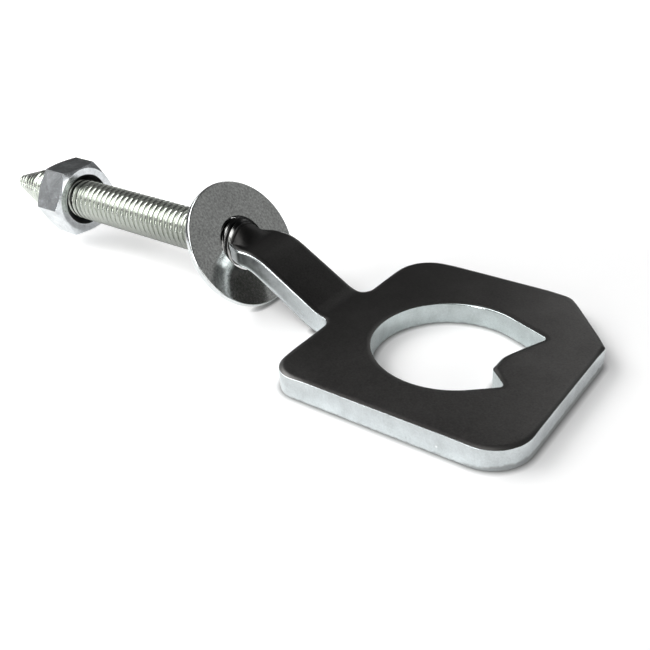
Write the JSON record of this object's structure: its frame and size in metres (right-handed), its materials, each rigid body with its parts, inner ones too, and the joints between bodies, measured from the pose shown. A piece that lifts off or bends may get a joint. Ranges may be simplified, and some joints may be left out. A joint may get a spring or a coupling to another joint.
{
  "type": "motorcycle chain adjuster",
  "caption": "Motorcycle chain adjuster: a flat plate with a keyed axle hole, its joggled neck drawn out into a threaded stud that carries a loose washer and a hexagon nut.",
  "frame": {"origin": "centre of the axle hole, in the plane of the plate's underside, which lies on the ground", "axes": "+X along the stud from its point towards the plate's far end, +Z square to the plate, towards the side the stud is offset to, +Y towards the chamfered side"},
  "size_m": [0.0963, 0.034, 0.0154],
  "materials": {
    "adjuster_steel": "zinc plated, dark on the flats and bright on the sheared edges",
    "washer_steel": "zinc plated, satin",
    "nut_steel": "zinc plated, bright"
  },
  "bodies": {
    "adjuster": {"adjuster_body": "adjuster_steel"},
    "washer": {"plain_washer": "washer_steel"},
    "nut": {"hex_nut": "nut_steel"}
  },
  "joints": [
    {"name": "washer_slide", "type": "slide", "parent": "adjuster", "child": "washer", "axis": [-1, 0, 0], "range_m": [0, 0.006]},
    {"name": "nut_travel", "type": "slide", "parent": "adjuster", "child": "nut", "axis": [1, 0, 0], "range_m": [-0.004, 0.02]}
  ]
}
